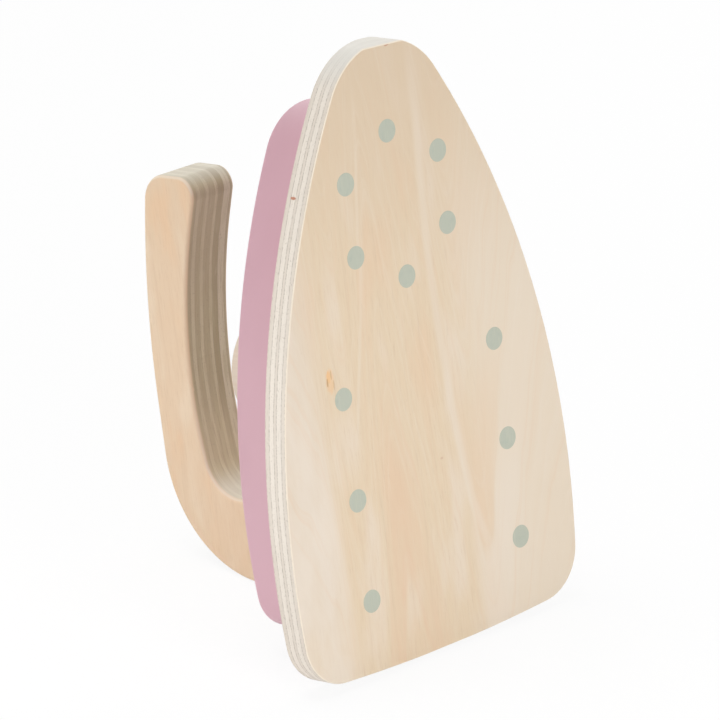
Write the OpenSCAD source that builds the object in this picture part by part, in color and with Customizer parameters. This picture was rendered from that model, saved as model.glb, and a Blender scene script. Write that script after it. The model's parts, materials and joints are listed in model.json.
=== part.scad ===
// Wooden toy iron, standing on its heel.
// Each piece is drawn as if the iron lay on its sole: x runs across, y from the heel to the
// nose, z up from the working face. stand() then tips the whole iron back onto its heel, where
// it rests on the inner edge of the sole plate and on the bend of the handle.

/* [Sole plate] */
// Length of the sole plate, from heel to nose
sole_l = 160.6; // [135:0.2:190]
// Width of the sole plate at its widest
sole_w = 101.4; // [86:0.2:116]
// Thickness of the sole plate's board
sole_t = 7.8; // [5:0.1:12]
// Radius of the nose
sole_nose_r = 21.5; // [14:0.5:27]
// Distance from the heel to the widest place
sole_widest = 34.6; // [26:0.2:46]
// Radius of the two heel corners
sole_corner_r = 13.5; // [8:0.5:20]
// Radius of the slightly bowed heel edge
sole_heel_r = 550; // [350:10:900]
// Rounding of the sole plate's edges
sole_edge_r = 0.7; // [0.3:0.1:1.4]

/* [Printed dots] */
// Diameter of a dot
dot_d = 6; // [3:0.1:9]
// Thickness of the print, which lies flush in the working face
dot_t = 0.1; // [0.06:0.01:0.3]
// Distance from the nose to the middle of the ring of dots
ring_from_nose = 42.4; // [36:0.2:50]
// Radius of the ring of dots
ring_r = 19.2; // [14:0.2:24]
// Number of dots in the ring
ring_dots = 6; // [4:1:8]
// Distance from the heel to the last row of dots
row_from_heel = 20.3; // [14:0.1:26]
// Distance from one row of dots to the next
row_pitch = 27; // [18:0.5:30]
// Number of rows
row_count = 3; // [1:1:3]
// Distance between the two dots of a row
row_w = 55.1; // [40:0.5:64]
// How far the print is turned on the plate, in degrees
print_turn = -1.5; // [-4:0.1:4]
// How far the print is shifted across the plate
print_shift = 0.3; // [-2:0.1:2]

/* [Body] */
// Length of the painted body
body_l = 133.9; // [115:0.1:140]
// Width of the body at its widest
body_w = 76.6; // [64:0.1:84]
// Thickness of the body
body_t = 23; // [18:0.5:30]
// Radius of the body's nose
body_nose_r = 17; // [10:0.5:22]
// Distance from the body's heel to its widest place
body_widest = 31.9; // [24:0.1:42]
// Radius of the body's heel corners
body_corner_r = 11.3; // [6:0.1:16]
// Radius of the body's bowed heel edge
body_heel_r = 520; // [350:10:900]
// Rounding of the body's edges
body_edge_r = 1.2; // [0.4:0.1:2.5]
// Distance from the sole plate's heel to the body's heel
body_back = 9.2; // [5:0.2:14]

/* [Handle] */
// Thickness of the handle's board
handle_t = 15.6; // [12:0.1:20]
// Height of the handle's back above the body
handle_h = 63.4; // [54:0.2:76]
// Length of the handle, from the back of the leg to the open end
handle_l = 110; // [96:0.2:124]
// Distance from the body's heel to the back of the leg
handle_back = 1.4; // [0.5:0.1:6]
// Width of the leg, from its back to its finger side
leg_w = 23; // [19:0.5:28]
// Thickness of the grip at its thinnest
grip_t = 15.2; // [12:0.1:20]
// Radius of the bend at the back of the handle
bend_r = 33; // [24:0.5:38]
// Radius of the bend on the finger side
finger_bend_r = 11; // [7:0.5:14]
// Rise of the handle's back from its round bend, in degrees
back_rise = 1; // [0:0.5:3]
// Fall of the handle's back towards the open end, in degrees
back_fall = 10.5; // [4:0.5:14]
// Fall of the finger side towards the open end, in degrees
finger_fall = 18.6; // [14:0.2:24]
// Fall of the finger side towards the leg, in degrees
leg_fall = 9; // [4:0.5:12]
// Radius of the open end's outer corner
end_outer_r = 8.5; // [4:0.5:10]
// Radius of the open end's inner corner
end_inner_r = 5; // [3.5:0.5:8]
// Rounding of the handle's edges
handle_edge_r = 1.3; // [0.5:0.1:3]

/* [Handle screws] */
// Diameter of a screw's thread
screw_d = 4; // [3:0.1:5]
// Length of a screw, head and point included
screw_l = 40; // [34:1:50]
// Diameter of the countersunk head
screw_head_d = 8; // [7:0.1:9.5]
// Height of the countersunk head
screw_head_h = 2.3; // [1.8:0.1:3]
// How far the head sits below the body's underside
screw_sink = 1; // [0.5:0.1:3]
// Clearance round the screw in the body
screw_clear = 0.2; // [0.1:0.05:0.4]

/* [Dial] */
// Diameter of the dial knob
dial_d = 34; // [26:0.5:42]
// Height of the dial knob
dial_h = 22; // [16:0.5:25]
// Rounding of the dial knob's rims
dial_edge_r = 1; // [0.5:0.1:3]
// Distance from the body's heel to the dial's axis
dial_from_heel = 60.8; // [54:0.2:70]
// Gap between the turning knob and the body
dial_gap = 0.3; // [0.2:0.05:0.6]

/* [Dial screw and washer] */
// Diameter of the dial screw's shank
pivot_d = 5; // [4:0.1:6]
// Radial running clearance of the shank in the body
pivot_run = 0.06; // [0.03:0.01:0.09]
// How deep the dial screw goes into the knob
pivot_grip = 12; // [8:0.5:13]
// Diameter of the dial screw's head
pivot_head_d = 9; // [8:0.1:10.5]
// Height of the dial screw's head
pivot_head_h = 3; // [2:0.1:3.6]
// Outer diameter of the washer
washer_d = 13; // [12:0.1:16]
// Thickness of the washer
washer_t = 1.2; // [0.8:0.1:2]
// Depth of the pocket in the body's underside
pocket_depth = 7; // [6.4:0.1:9]
// Radial clearance of the washer in the pocket and on the shank
washer_clear = 0.15; // [0.1:0.05:0.3]
// Play between the screw's head and the washer
head_play = 0.2; // [0.1:0.05:0.4]

/* [Hidden] */
$fn = 64;

// Overrun of every cut past the face that it opens
cut = 1;
// Steps of an edge's quarter round
edge_steps = 3;
// Largest turn between two points of a handle bend, in degrees
bend_step = 7;
// Points on each stretch of a plate's half outline: heel, corner, flank, nose
heel_steps = 2;
corner_steps = 8;
flank_steps = 14;
nose_steps = 8;
// The handle's three long, flat bends. The first, beside the leg, is given by its distance from
// the leg and by half its length. The other two fill what is left up to the open end.
leg_bend_reach = 20.8;
leg_bend_run = 8;
hollow_from_end = 11.2;
back_bend_from_bend = 13.8;
back_bend_from_end = 10.5;
// Places of the two screws, as shares of the leg's width
leg_screw_shares = [0.25, 0.75];
// Cross recess of a screw, as shares of its head: arm length, arm width, depth
recess_length_share = 0.55;
recess_width_share = 0.14;
recess_depth_share = 0.6;
// Length of a screw's point and of the hole left beyond the dial screw, as shares of the thread
point_share = 0.8;
hole_end_share = 0.4;

// Height of the body's upper face above the working face
body_top = sole_t + body_t;
// Places along the iron, from the sole plate's heel
handle_y = body_back + handle_back;
dial_y = body_back + dial_from_heel;
ring_y = sole_l - ring_from_nose;
// Top of the pocket that holds the dial screw's head
pocket_top = sole_t + pocket_depth;

function unit(v) = v / norm(v);
function angle_of(v) = atan2(v[1], v[0]);
function polar(r, a) = r * [cos(a), sin(a)];

// Points of an arc about c, from angle a0 up to but without angle a1
function arc(c, r, a0, a1, n) = [for (i = [0 : n - 1]) c + polar(r, a0 + (a1 - a0) * i / n)];

// The right-hand one of the two points at distance r1 from c1 and r2 from c2
function meet(c1, r1, c2, r2) =
    let (
        d = norm(c2 - c1),
        e = (c2 - c1) / d,
        along = (r1 * r1 - r2 * r2 + d * d) / (2 * d)
    )
    c1 + along * e + sqrt(r1 * r1 - along * along) * [e[1], -e[0]];

// Right half of an iron's outline, from the heel to the nose. Four arcs follow each other
// smoothly: the bowed heel, a corner, the long flank and the nose. The heel's first point is
// off the middle, so that a short straight stretch is left there to stand on.
function half_outline(l, w, nose_r, widest, corner_r, heel_r) =
    let (
        nose_c = [0, l - nose_r],
        rise = l - nose_r - widest,
        flank_r = (w * w / 4 + rise * rise - nose_r * nose_r) / (w - 2 * nose_r),
        flank_c = [w / 2 - flank_r, widest],
        heel_c = [0, heel_r],
        corner_c = meet(flank_c, flank_r - corner_r, heel_c, heel_r - corner_r),
        heel_end = angle_of(corner_c - heel_c),
        flank_start = angle_of(corner_c - flank_c),
        flank_end = angle_of(nose_c - flank_c),
        half_step = (heel_end + 90) / heel_steps / 2
    )
    concat(
        arc(heel_c, heel_r, half_step - 90, heel_end + half_step, heel_steps),
        arc(corner_c, corner_r, heel_end, flank_start, corner_steps),
        arc(flank_c, flank_r, flank_start, flank_end, flank_steps),
        arc(nose_c, nose_r, flank_end, 90, nose_steps),
        [[0, l]]
    );

// The whole outline, anticlockwise: the half and its mirror image
function whole_outline(half) =
    concat(half, [for (i = [len(half) - 2 : -1 : 0]) [-half[i][0], half[i][1]]]);

// Points of one rounded corner at p, between the corners before and after it
function corner_points(before, p, after, r) =
    let (
        u = unit(before - p),
        v = unit(after - p),
        half = acos(u * v) / 2,
        c = p + unit(u + v) * r / sin(half),
        a0 = angle_of(p + u * r / tan(half) - c),
        a1 = angle_of(p + v * r / tan(half) - c),
        turn = (a1 - a0 + 540) % 360 - 180,
        n = max(1, ceil(abs(turn) / bend_step))
    )
    [for (i = [0 : n]) c + polar(r, a0 + turn * i / n)];

// A path with rounded corners, from rows that each give a corner and its radius
function rounded_path(rows) =
    let (n = len(rows))
    [for (i = [0 : n - 1])
        each rows[i][1] == 0
            ? [rows[i][0]]
            : corner_points(rows[(i + n - 1) % n][0], rows[i][0], rows[(i + 1) % n][0], rows[i][1])];

// An anticlockwise path drawn in by d all round
function inset(path, d) =
    let (n = len(path))
    [for (i = [0 : n - 1])
        let (
            a = unit(path[i] - path[(i + n - 1) % n]),
            b = unit(path[(i + 1) % n] - path[i]),
            na = [a[1], -a[0]],
            nb = [b[1], -b[0]]
        )
        path[i] - d * (na + nb) / (1 + na * nb)];

// Triangles that fill a path: two points walk from its start and end towards each other, and
// the next triangle always takes the shorter way across
function filled(path, a, b) =
    b - a < 2
        ? []
        : norm(path[a + 1] - path[b]) < norm(path[a] - path[b - 1])
            ? concat([[a, a + 1, b]], filled(path, a + 1, b))
            : concat([[a, b - 1, b]], filled(path, a, b - 1));

// How far a quarter round of radius r is drawn in, and how far it has gone from the face
function edge_ring(r, k) = [r * (1 - sin(90 * k / edge_steps)), r * (1 - cos(90 * k / edge_steps))];

// A board of thickness t with the path as its outline and all its edges rounded by r
module board(path, t, r) {
    lower = [for (k = [0 : edge_steps]) edge_ring(r, k)];
    upper = [for (k = [edge_steps : -1 : 0]) [edge_ring(r, k)[0], t - edge_ring(r, k)[1]]];
    rings = concat(lower, upper);
    n = len(path);
    top = n * (len(rings) - 1);
    points = [for (ring = rings) for (p = inset(path, ring[0])) [p[0], p[1], ring[1]]];
    walls = [for (j = [0 : n : top - n]) for (i = [0 : n - 1])
        let (a = j + i, d = j + (i + 1) % n)
        each [[a, a + n, d + n], [a, d + n, d]]];
    under = filled(path, 0, n - 1);
    over = [for (f = under) [top + f[2], top + f[1], top + f[0]]];
    polyhedron(points, concat(under, over, walls), convexity = 6);
}

sole_half = half_outline(sole_l, sole_w, sole_nose_r, sole_widest, sole_corner_r, sole_heel_r);
body_half = half_outline(body_l, body_w, body_nose_r, body_widest, body_corner_r, body_heel_r);

// Places of the handle's three flat bends, from the back of the leg, and half their lengths
leg_bend_y = leg_w + leg_bend_reach;
hollow_start = leg_bend_y + leg_bend_run;
hollow_run = (handle_l - hollow_from_end - hollow_start) / 2;
finger_bend_y = hollow_start + hollow_run;
back_bend_start = bend_r + back_bend_from_bend;
back_bend_run = (handle_l - back_bend_from_end - back_bend_start) / 2;
back_bend_y = back_bend_start + back_bend_run;
// Radius of a bend that turns by an angle over half a length
function bend_radius(run, turn) = run / tan(turn / 2);
// Height of the grip's finger side above the body
grip_under = handle_h - grip_t;
// The handle seen from the side: the distance from the back of the leg and the height above
// the body, then the radius of that corner. The foot reaches below the body's upper face by
// the edges' rounding, and is cut off flat there.
handle_rows = [
    [[0, -handle_edge_r], 0],
    [[leg_w, -handle_edge_r], 0],
    [[leg_w, grip_under - (leg_bend_y - leg_w) * tan(leg_fall)], finger_bend_r],
    [[leg_bend_y, grip_under], bend_radius(leg_bend_run, leg_fall)],
    [[finger_bend_y, grip_under], bend_radius(hollow_run, finger_fall)],
    [[handle_l, grip_under - (handle_l - finger_bend_y) * tan(finger_fall)], end_inner_r],
    [[handle_l, handle_h - (handle_l - back_bend_y) * tan(back_fall)], end_outer_r],
    [[back_bend_y, handle_h], bend_radius(back_bend_run, back_rise + back_fall)],
    [[0, handle_h - back_bend_y * tan(back_rise)], bend_r]
];
handle_side = rounded_path(handle_rows);

// The two profiles that touch the ground: the sole plate's rounded inner edge at the heel, and
// the handle, both as distance from the heel and height above the working face
heel_flat = sole_half[0][1];
sole_touch = [for (k = [0 : edge_steps])
    [heel_flat + edge_ring(sole_edge_r, k)[0], sole_t - edge_ring(sole_edge_r, k)[1]]];
handle_touch = [for (p = handle_side) [handle_y + p[0], body_top + p[1]]];
// The iron leans back until the line under both profiles lies on the ground
lean = min([for (h = handle_touch)
    max([for (s = sole_touch) atan2(h[0] - s[0], h[1] - s[1])])]);
// Height above the ground and depth behind the origin of a point, once the iron leans
function leaned_up(p) = p[0] * cos(lean) - p[1] * sin(lean);
function leaned_back(p) = p[1] * cos(lean) + p[0] * sin(lean);
ground = min([for (s = sole_touch) leaned_up(s)]);
sole_front = [for (k = [0 : edge_steps])
    [heel_flat + edge_ring(sole_edge_r, k)[0], edge_ring(sole_edge_r, k)[1]]];
front = min([for (s = sole_front) leaned_back(s)]);
back = max([for (h = handle_touch) leaned_back(h)]);

// Puts a piece that is drawn lying on its sole onto its heel, with the origin on the ground
// under the middle of the whole iron
module stand() {
    translate([0, -(front + back) / 2, -ground]) rotate([90 + lean, 0, 180]) children();
}

// Puts children at every dot of the print
module at_dots() {
    translate([print_shift, ring_y, 0]) rotate(print_turn) {
        for (i = [0 : ring_dots - 1])
            rotate(i * 360 / ring_dots) translate([0, ring_r, 0]) children();
        for (i = [0 : row_count - 1], side = [-1, 1])
            translate([side * row_w / 2, row_from_heel + i * row_pitch - ring_y, 0]) children();
    }
}

// Puts children at the two handle screws, under the middle of the leg
module at_screws() {
    for (share = leg_screw_shares)
        translate([0, handle_y + leg_w * share, sole_t]) children();
}

// Cross recess in the flat head of a screw that points up
module cross_recess(head_d, head_h) {
    arm = head_d * recess_length_share;
    width = head_d * recess_width_share;
    depth = head_h * recess_depth_share;
    for (turn = [0, 90])
        rotate(turn) translate([-arm / 2, -width / 2, -cut]) cube([arm, width, depth + cut]);
}

module sole_plate() {
    color([0.88, 0.81, 0.71]) stand() difference() {
        board(whole_outline(sole_half), sole_t, sole_edge_r);
        // Shallow seats that the print fills, so that the working face stays flat
        at_dots() translate([0, 0, -cut]) cylinder(d = dot_d, h = dot_t + cut);
    }
}

module sole_dots() {
    color([0.74, 0.75, 0.70]) stand() at_dots() cylinder(d = dot_d, h = dot_t);
}

module body_block() {
    color([0.82, 0.66, 0.69]) stand() difference() {
        translate([0, body_back, sole_t]) board(whole_outline(body_half), body_t, body_edge_r);
        // Holes and countersinks of the handle screws, opened from the underside
        at_screws() {
            translate([0, 0, -cut]) cylinder(d = screw_d + 2 * screw_clear, h = body_t + 2 * cut);
            translate([0, 0, -cut]) cylinder(d = screw_head_d + 2 * screw_clear, h = screw_sink + cut);
            translate([0, 0, screw_sink])
                cylinder(d1 = screw_head_d + 2 * screw_clear, d2 = screw_d + 2 * screw_clear,
                         h = screw_head_h);
        }
        // Bore of the dial screw, and the pocket for its head and washer
        translate([0, dial_y, sole_t - cut]) {
            cylinder(d = pivot_d + 2 * pivot_run, h = body_t + 2 * cut);
            cylinder(d = washer_d + 2 * washer_clear, h = pocket_depth + cut);
        }
    }
}

module handle() {
    color([0.89, 0.80, 0.68]) stand() difference() {
        // The board stands on edge: its outline is drawn in the iron's middle plane
        translate([-handle_t / 2, handle_y, body_top])
            rotate([90, 0, 90]) board(handle_side, handle_t, handle_edge_r);
        // Cut the foot flat on the body's upper face
        translate([-handle_t, handle_y - cut, body_top - handle_edge_r - cut])
            cube([2 * handle_t, leg_w + 2 * cut, handle_edge_r + cut]);
        // Holes that the screws' threads fill
        at_screws() cylinder(d = screw_d, h = screw_sink + screw_l);
    }
}

// One countersunk wood screw, head down, from z = 0 at its head
module wood_screw() {
    point = screw_d * point_share;
    difference() {
        union() {
            cylinder(d1 = screw_head_d, d2 = screw_d, h = screw_head_h);
            translate([0, 0, screw_head_h])
                cylinder(d = screw_d, h = screw_l - screw_head_h - point);
            translate([0, 0, screw_l - point]) cylinder(d1 = screw_d, d2 = 0, h = point);
        }
        cross_recess(screw_head_d, screw_head_h);
    }
}

module handle_screws() {
    color([0.75, 0.76, 0.78]) stand() at_screws() translate([0, 0, screw_sink]) wood_screw();
}

// Puts children on the dial's axis, on the body's upper face
module at_dial() {
    translate([0, dial_y, body_top]) children();
}

module dial_knob() {
    r = dial_d / 2;
    e = dial_edge_r;
    color([0.87, 0.81, 0.74]) stand() at_dial() translate([0, 0, dial_gap]) difference() {
        rotate_extrude() {
            square([r - e, dial_h]);
            translate([0, e]) square([r, dial_h - 2 * e]);
            for (z = [e, dial_h - e]) translate([r - e, z]) circle(r = e);
        }
        translate([0, 0, -cut]) cylinder(d = pivot_d, h = pivot_grip + pivot_d * hole_end_share + cut);
    }
}

// The dial screw holds the knob from inside the body and turns with it
module dial_screw() {
    head_top = pocket_top - washer_t - head_play;
    color([0.75, 0.76, 0.78]) stand() translate([0, dial_y, head_top - pivot_head_h]) difference() {
        union() {
            cylinder(d = pivot_head_d, h = pivot_head_h);
            cylinder(d = pivot_d, h = body_top + dial_gap + pivot_grip - head_top + pivot_head_h);
        }
        cross_recess(pivot_head_d, pivot_head_h);
    }
}

module dial_washer() {
    color([0.80, 0.80, 0.80]) stand() translate([0, dial_y, pocket_top - washer_t]) difference() {
        cylinder(d = washer_d, h = washer_t);
        translate([0, 0, -cut]) cylinder(d = pivot_d + 2 * washer_clear, h = washer_t + 2 * cut);
    }
}

sole_plate();
sole_dots();
body_block();
handle();
handle_screws();
dial_knob();
dial_screw();
dial_washer();
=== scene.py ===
# %% [markdown]
# # A wooden toy iron
# The iron stands on its heel with its nose up, and shows the flat face of its sole. It is made of
# a pointed plywood sole plate with printed dots, a painted block behind it, a J-shaped plywood
# handle and a round knob that turns. The construction is already there as a fixed frame of solids
# in the same place and size. This lesson dresses that frame: smooth boards with rounded edges,
# plywood that shows its plies, paint, print, soft light and a long lens.

# %% The fixed frame
import json
import math

import bpy
from mathutils import Matrix, Vector


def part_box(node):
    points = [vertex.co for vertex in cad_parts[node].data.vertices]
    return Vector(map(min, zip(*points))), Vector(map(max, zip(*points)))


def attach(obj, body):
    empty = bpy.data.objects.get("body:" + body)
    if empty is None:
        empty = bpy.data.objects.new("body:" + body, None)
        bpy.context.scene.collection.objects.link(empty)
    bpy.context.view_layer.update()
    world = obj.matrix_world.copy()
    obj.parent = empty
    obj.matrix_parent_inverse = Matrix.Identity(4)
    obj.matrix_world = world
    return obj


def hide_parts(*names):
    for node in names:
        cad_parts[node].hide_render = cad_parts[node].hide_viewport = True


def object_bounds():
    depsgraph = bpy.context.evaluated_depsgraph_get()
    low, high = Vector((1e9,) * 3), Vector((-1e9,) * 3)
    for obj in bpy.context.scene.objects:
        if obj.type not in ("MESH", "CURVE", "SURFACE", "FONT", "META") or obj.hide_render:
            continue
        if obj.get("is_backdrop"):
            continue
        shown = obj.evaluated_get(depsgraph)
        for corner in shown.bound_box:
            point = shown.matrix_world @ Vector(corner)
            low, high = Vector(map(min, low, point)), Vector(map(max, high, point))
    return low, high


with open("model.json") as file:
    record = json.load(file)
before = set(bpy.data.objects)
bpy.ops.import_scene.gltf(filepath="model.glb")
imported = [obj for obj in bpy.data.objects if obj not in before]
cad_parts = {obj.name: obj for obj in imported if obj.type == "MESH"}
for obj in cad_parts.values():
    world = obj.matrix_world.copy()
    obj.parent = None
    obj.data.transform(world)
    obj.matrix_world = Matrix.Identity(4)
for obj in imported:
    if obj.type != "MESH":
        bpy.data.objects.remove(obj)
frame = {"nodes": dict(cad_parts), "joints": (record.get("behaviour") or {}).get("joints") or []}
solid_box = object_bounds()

# %% [markdown]
# ## The bench
# The real iron is made lying on its sole, and every board has its outline in that plane. Drawing
# each piece in its leaning place would mix the lean into every number. So the pieces are drawn on
# a bench: x across the iron, y from the heel to the nose, z up from the working face, all in
# millimetres. One matrix then tips them onto the heel. It is built from the knob's turning axis,
# which the frame gives, so the lean never has to be typed.

# %% From the bench to the standing iron
MM = 0.001
BODY_TOP = 30.8
DIAL_FROM_HEEL = 70.0

dial_joint = frame["joints"][0]
dial_axis = Vector(dial_joint["axis"]).normalized()
dial_foot = Vector(dial_joint["pos_m"])
across_row = Vector((-1, 0, 0))
along_row = dial_axis.cross(across_row)
turned = Matrix((across_row, along_row, dial_axis)).transposed()


def standing(point):
    """A bench point in millimetres, as a point of the standing iron in metres."""
    from_dial = Vector(point) - Vector((0, DIAL_FROM_HEEL, BODY_TOP))
    return dial_foot + turned @ (from_dial * MM)


lean = math.degrees(math.asin(-dial_axis.z))
print("the iron leans back by", round(lean, 2), "degrees")

# %% [markdown]
# ## The outline of an iron
# Sole and block share one shape: a slightly bowed heel, two round corners, long flanks and a round
# nose. Tracing it by hand would give a lumpy line. Four arcs that touch each other give the clean
# line that a template and a router give, from six sizes. Only the right half is worked out, and
# the left half mirrors it.

# %% Arcs
FINE_STEP = 3.0


def polar(radius, degrees):
    return Vector((math.cos(math.radians(degrees)), math.sin(math.radians(degrees)))) * radius


def angle_of(vector):
    return math.degrees(math.atan2(vector.y, vector.x))


def arc(centre, radius, start, end, step=FINE_STEP):
    """Points from the start angle up to but without the end angle."""
    count = max(1, math.ceil(abs(end - start) / step))
    return [centre + polar(radius, start + (end - start) * i / count) for i in range(count)]


def meeting(centre_a, radius_a, centre_b, radius_b):
    """The right-hand point at these distances from two centres."""
    gap = centre_b - centre_a
    along = (radius_a ** 2 - radius_b ** 2 + gap.length_squared) / (2 * gap.length)
    unit = gap.normalized()
    side = Vector((unit.y, -unit.x)) * math.sqrt(radius_a ** 2 - along ** 2)
    return centre_a + unit * along + side


print("a quarter circle gets", len(arc(Vector((0, 0)), 1, 0, 90)), "points")

# %% The outline
LONG_STEP = 0.6
HEEL_FLAT_SHARE = 0.25


def iron_outline(length, width, nose_r, widest, corner_r, heel_r):
    """Anticlockwise outline on the bench, with its heel at y = 0. It is widest at y = widest."""
    nose = Vector((0, length - nose_r))
    rise = nose.y - widest
    flank_r = (width ** 2 / 4 + rise ** 2 - nose_r ** 2) / (width - 2 * nose_r)
    flank = Vector((width / 2 - flank_r, widest))
    heel = Vector((0, heel_r))
    corner = meeting(flank, flank_r - corner_r, heel, heel_r - corner_r)
    heel_end = angle_of(corner - heel)
    flat = (heel_end + 90) * HEEL_FLAT_SHARE
    flank_start = angle_of(corner - flank)
    flank_end = angle_of(nose - flank)
    right = arc(heel, heel_r, flat - 90, heel_end, LONG_STEP)
    right += arc(corner, corner_r, heel_end, flank_start)
    right += arc(flank, flank_r, flank_start, flank_end, LONG_STEP)
    right += arc(nose, nose_r, flank_end, 90)
    return right + [Vector((0, length))] + [Vector((-p.x, p.y)) for p in reversed(right)]


SOLE_LENGTH = 160.6
SOLE_SIZES = {"width": 101.4, "nose_r": 21.5, "widest": 34.6, "corner_r": 13.5, "heel_r": 550}
BLOCK_LENGTH = 133.9
BLOCK_SIZES = {"width": 76.6, "nose_r": 17, "widest": 31.9, "corner_r": 11.3, "heel_r": 520}

sole_outline = iron_outline(SOLE_LENGTH, **SOLE_SIZES)
block_outline = iron_outline(BLOCK_LENGTH, **BLOCK_SIZES)
print("sole outline:", len(sole_outline), "points; block outline:", len(block_outline), "points")

# %% [markdown]
# ## The outline of the handle
# The handle is a J sawn from a thick board. It is drawn as a path of corners, each with the radius
# that a sanding drum leaves there: a large one at the back, a tight one inside for the fingers,
# and long flat ones where the grip tapers and flares to its open end. A run is how far such an arc
# reaches to each side of its corner, so the straight stretches between them can be set in mm. The
# foot ends in the block.

# %% Rounded corners
NEARLY_STRAIGHT_R = 60


def rounded(rows):
    """A path through (corner, radius) rows, with each corner replaced by its arc."""
    path = []
    for i, (corner, radius) in enumerate(rows):
        if radius == 0:
            path.append(corner)
            continue
        back = (rows[i - 1][0] - corner).normalized()
        ahead = (rows[(i + 1) % len(rows)][0] - corner).normalized()
        half = back.angle(ahead) / 2
        centre = corner + (back + ahead).normalized() * radius / math.sin(half)
        start = angle_of(corner + back * radius / math.tan(half) - centre)
        end = angle_of(corner + ahead * radius / math.tan(half) - centre)
        turn = (end - start + 540) % 360 - 180
        step = FINE_STEP if radius < NEARLY_STRAIGHT_R else LONG_STEP
        path += arc(centre, radius, start, start + turn, step)
        path.append(centre + polar(radius, start + turn))
    return path


def tan(degrees):
    return math.tan(math.radians(degrees))


print("one degree of slope is", round(tan(1), 4), "mm per mm")

# %% The handle seen from the side
HANDLE_THICK = 15.6
HANDLE_FOOT_Y = 10.6
HANDLE_LENGTH = 110.0
LEG_WIDTH = 23.0
BACK_HEIGHT = 63.4
GRIP_THICK = 15.2
GRIP_UNDER = BACK_HEIGHT - GRIP_THICK
FOOT_SINK = 1.3
BACK_RISE, BACK_FALL, FINGER_FALL, LEG_FALL = 1.0, 10.5, 18.6, 9.0
BACK_R, LEG_R, END_LOW_R, END_HIGH_R = 33.0, 11, 5, 8.5
LEG_TO_BEND, LEG_RUN = 20.8, 8.0
BACK_STRAIGHT = 13.8
END_STRAIGHT_BELOW, END_STRAIGHT_ABOVE = 11.2, 10.5

leg_bend_y = LEG_WIDTH + LEG_TO_BEND
hollow_run = (HANDLE_LENGTH - END_STRAIGHT_BELOW - leg_bend_y - LEG_RUN) / 2
hollow_y = leg_bend_y + LEG_RUN + hollow_run
back_run = (HANDLE_LENGTH - END_STRAIGHT_ABOVE - BACK_R - BACK_STRAIGHT) / 2
back_y = BACK_R + BACK_STRAIGHT + back_run
end_low = GRIP_UNDER - (HANDLE_LENGTH - hollow_y) * tan(FINGER_FALL)
end_high = BACK_HEIGHT - (HANDLE_LENGTH - back_y) * tan(BACK_FALL)
handle_path = rounded([
    (Vector((0, -FOOT_SINK)), 0),
    (Vector((LEG_WIDTH, -FOOT_SINK)), 0),
    (Vector((LEG_WIDTH, GRIP_UNDER - (leg_bend_y - LEG_WIDTH) * tan(LEG_FALL))), LEG_R),
    (Vector((leg_bend_y, GRIP_UNDER)), LEG_RUN / tan(LEG_FALL / 2)),
    (Vector((hollow_y, GRIP_UNDER)), hollow_run / tan(FINGER_FALL / 2)),
    (Vector((HANDLE_LENGTH, end_low)), END_LOW_R),
    (Vector((HANDLE_LENGTH, end_high)), END_HIGH_R),
    (Vector((back_y, BACK_HEIGHT)), back_run / tan((BACK_RISE + BACK_FALL) / 2)),
    (Vector((0, BACK_HEIGHT - back_y * tan(BACK_RISE))), BACK_R),
])
print("handle path:", len(handle_path), "points, open end", round(end_high - end_low, 1), "mm high")

# %% [markdown]
# ## Boards with sanded edges
# A sawn board has sharp edges, and a toy's are always rounded over. A bevel modifier would do it,
# but it needs care where an outline is dense. Here each board is built as a stack of rings: every
# ring is the outline drawn in a little further as it nears a face, along a quarter circle. The
# faces stay flat, so a weighted normal modifier makes the light run evenly over them.
# Every point also keeps its bench place as an attribute. The wood is drawn from that, so its
# grain and plies stay in the board, however the iron stands.

# %% Drawing a path in
SKIN = 0.05
EDGE_STEPS = 6


def drawn_in(path, distance):
    """The anticlockwise path, moved inwards by a distance."""
    moved = []
    for i, p in enumerate(path):
        a = (p - path[i - 1]).normalized()
        b = (path[(i + 1) % len(path)] - p).normalized()
        out_a, out_b = Vector((a.y, -a.x)), Vector((b.y, -b.x))
        moved.append(p - (out_a + out_b) * distance / (1 + out_a.dot(out_b)))
    return moved


def edge_rings(thickness, radius):
    """(distance drawn in, height) of each ring, from the lower face to the upper one."""
    quarter = [math.pi / 2 * k / EDGE_STEPS for k in range(EDGE_STEPS + 1)]
    lower = [(radius * (1 - math.sin(a)), radius * (1 - math.cos(a))) for a in quarter]
    return lower + [(inner, thickness - height) for inner, height in reversed(lower)]


print("an 8 mm board has", len(edge_rings(8, 0.7)), "rings")

# %% Making a mesh that remembers the bench
GRAIN_PLACE = "bench_mm"


def piece(name, bench_points, faces, material, body, node=None, place_from=(0, 0, 0)):
    """A smooth mesh piece. It rides on a body and stands for a node of the frame."""
    mesh = bpy.data.meshes.new(name)
    mesh.from_pydata([standing(p) for p in bench_points], [], faces)
    mesh.validate()
    mesh.shade_smooth()
    places = mesh.attributes.new(GRAIN_PLACE, "FLOAT_VECTOR", "POINT")
    shift = Vector(place_from)
    places.data.foreach_set("vector", [c for p in bench_points for c in Vector(p) - shift])
    mesh.materials.append(material)
    made = bpy.data.objects.new(name, mesh)
    bpy.context.scene.collection.objects.link(made)
    even = made.modifiers.new("even_light", "WEIGHTED_NORMAL")
    even.weight = 100
    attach(made, body)
    if node:
        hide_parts(node)
    print(name, len(mesh.vertices), "points", len(mesh.polygons), "faces")
    return made


print("every point keeps its place as", GRAIN_PLACE)

# %% From rings to a board
def ring_faces(rings, count):
    """Quads between rings of equally many points, and a cap on each end."""
    faces = [tuple(reversed(range(count)))]
    for low in range(0, (rings - 1) * count, count):
        for i in range(count):
            j = (i + 1) % count
            faces.append((low + i, low + j, low + count + j, low + count + i))
    return faces + [tuple(range((rings - 1) * count, rings * count))]


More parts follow.
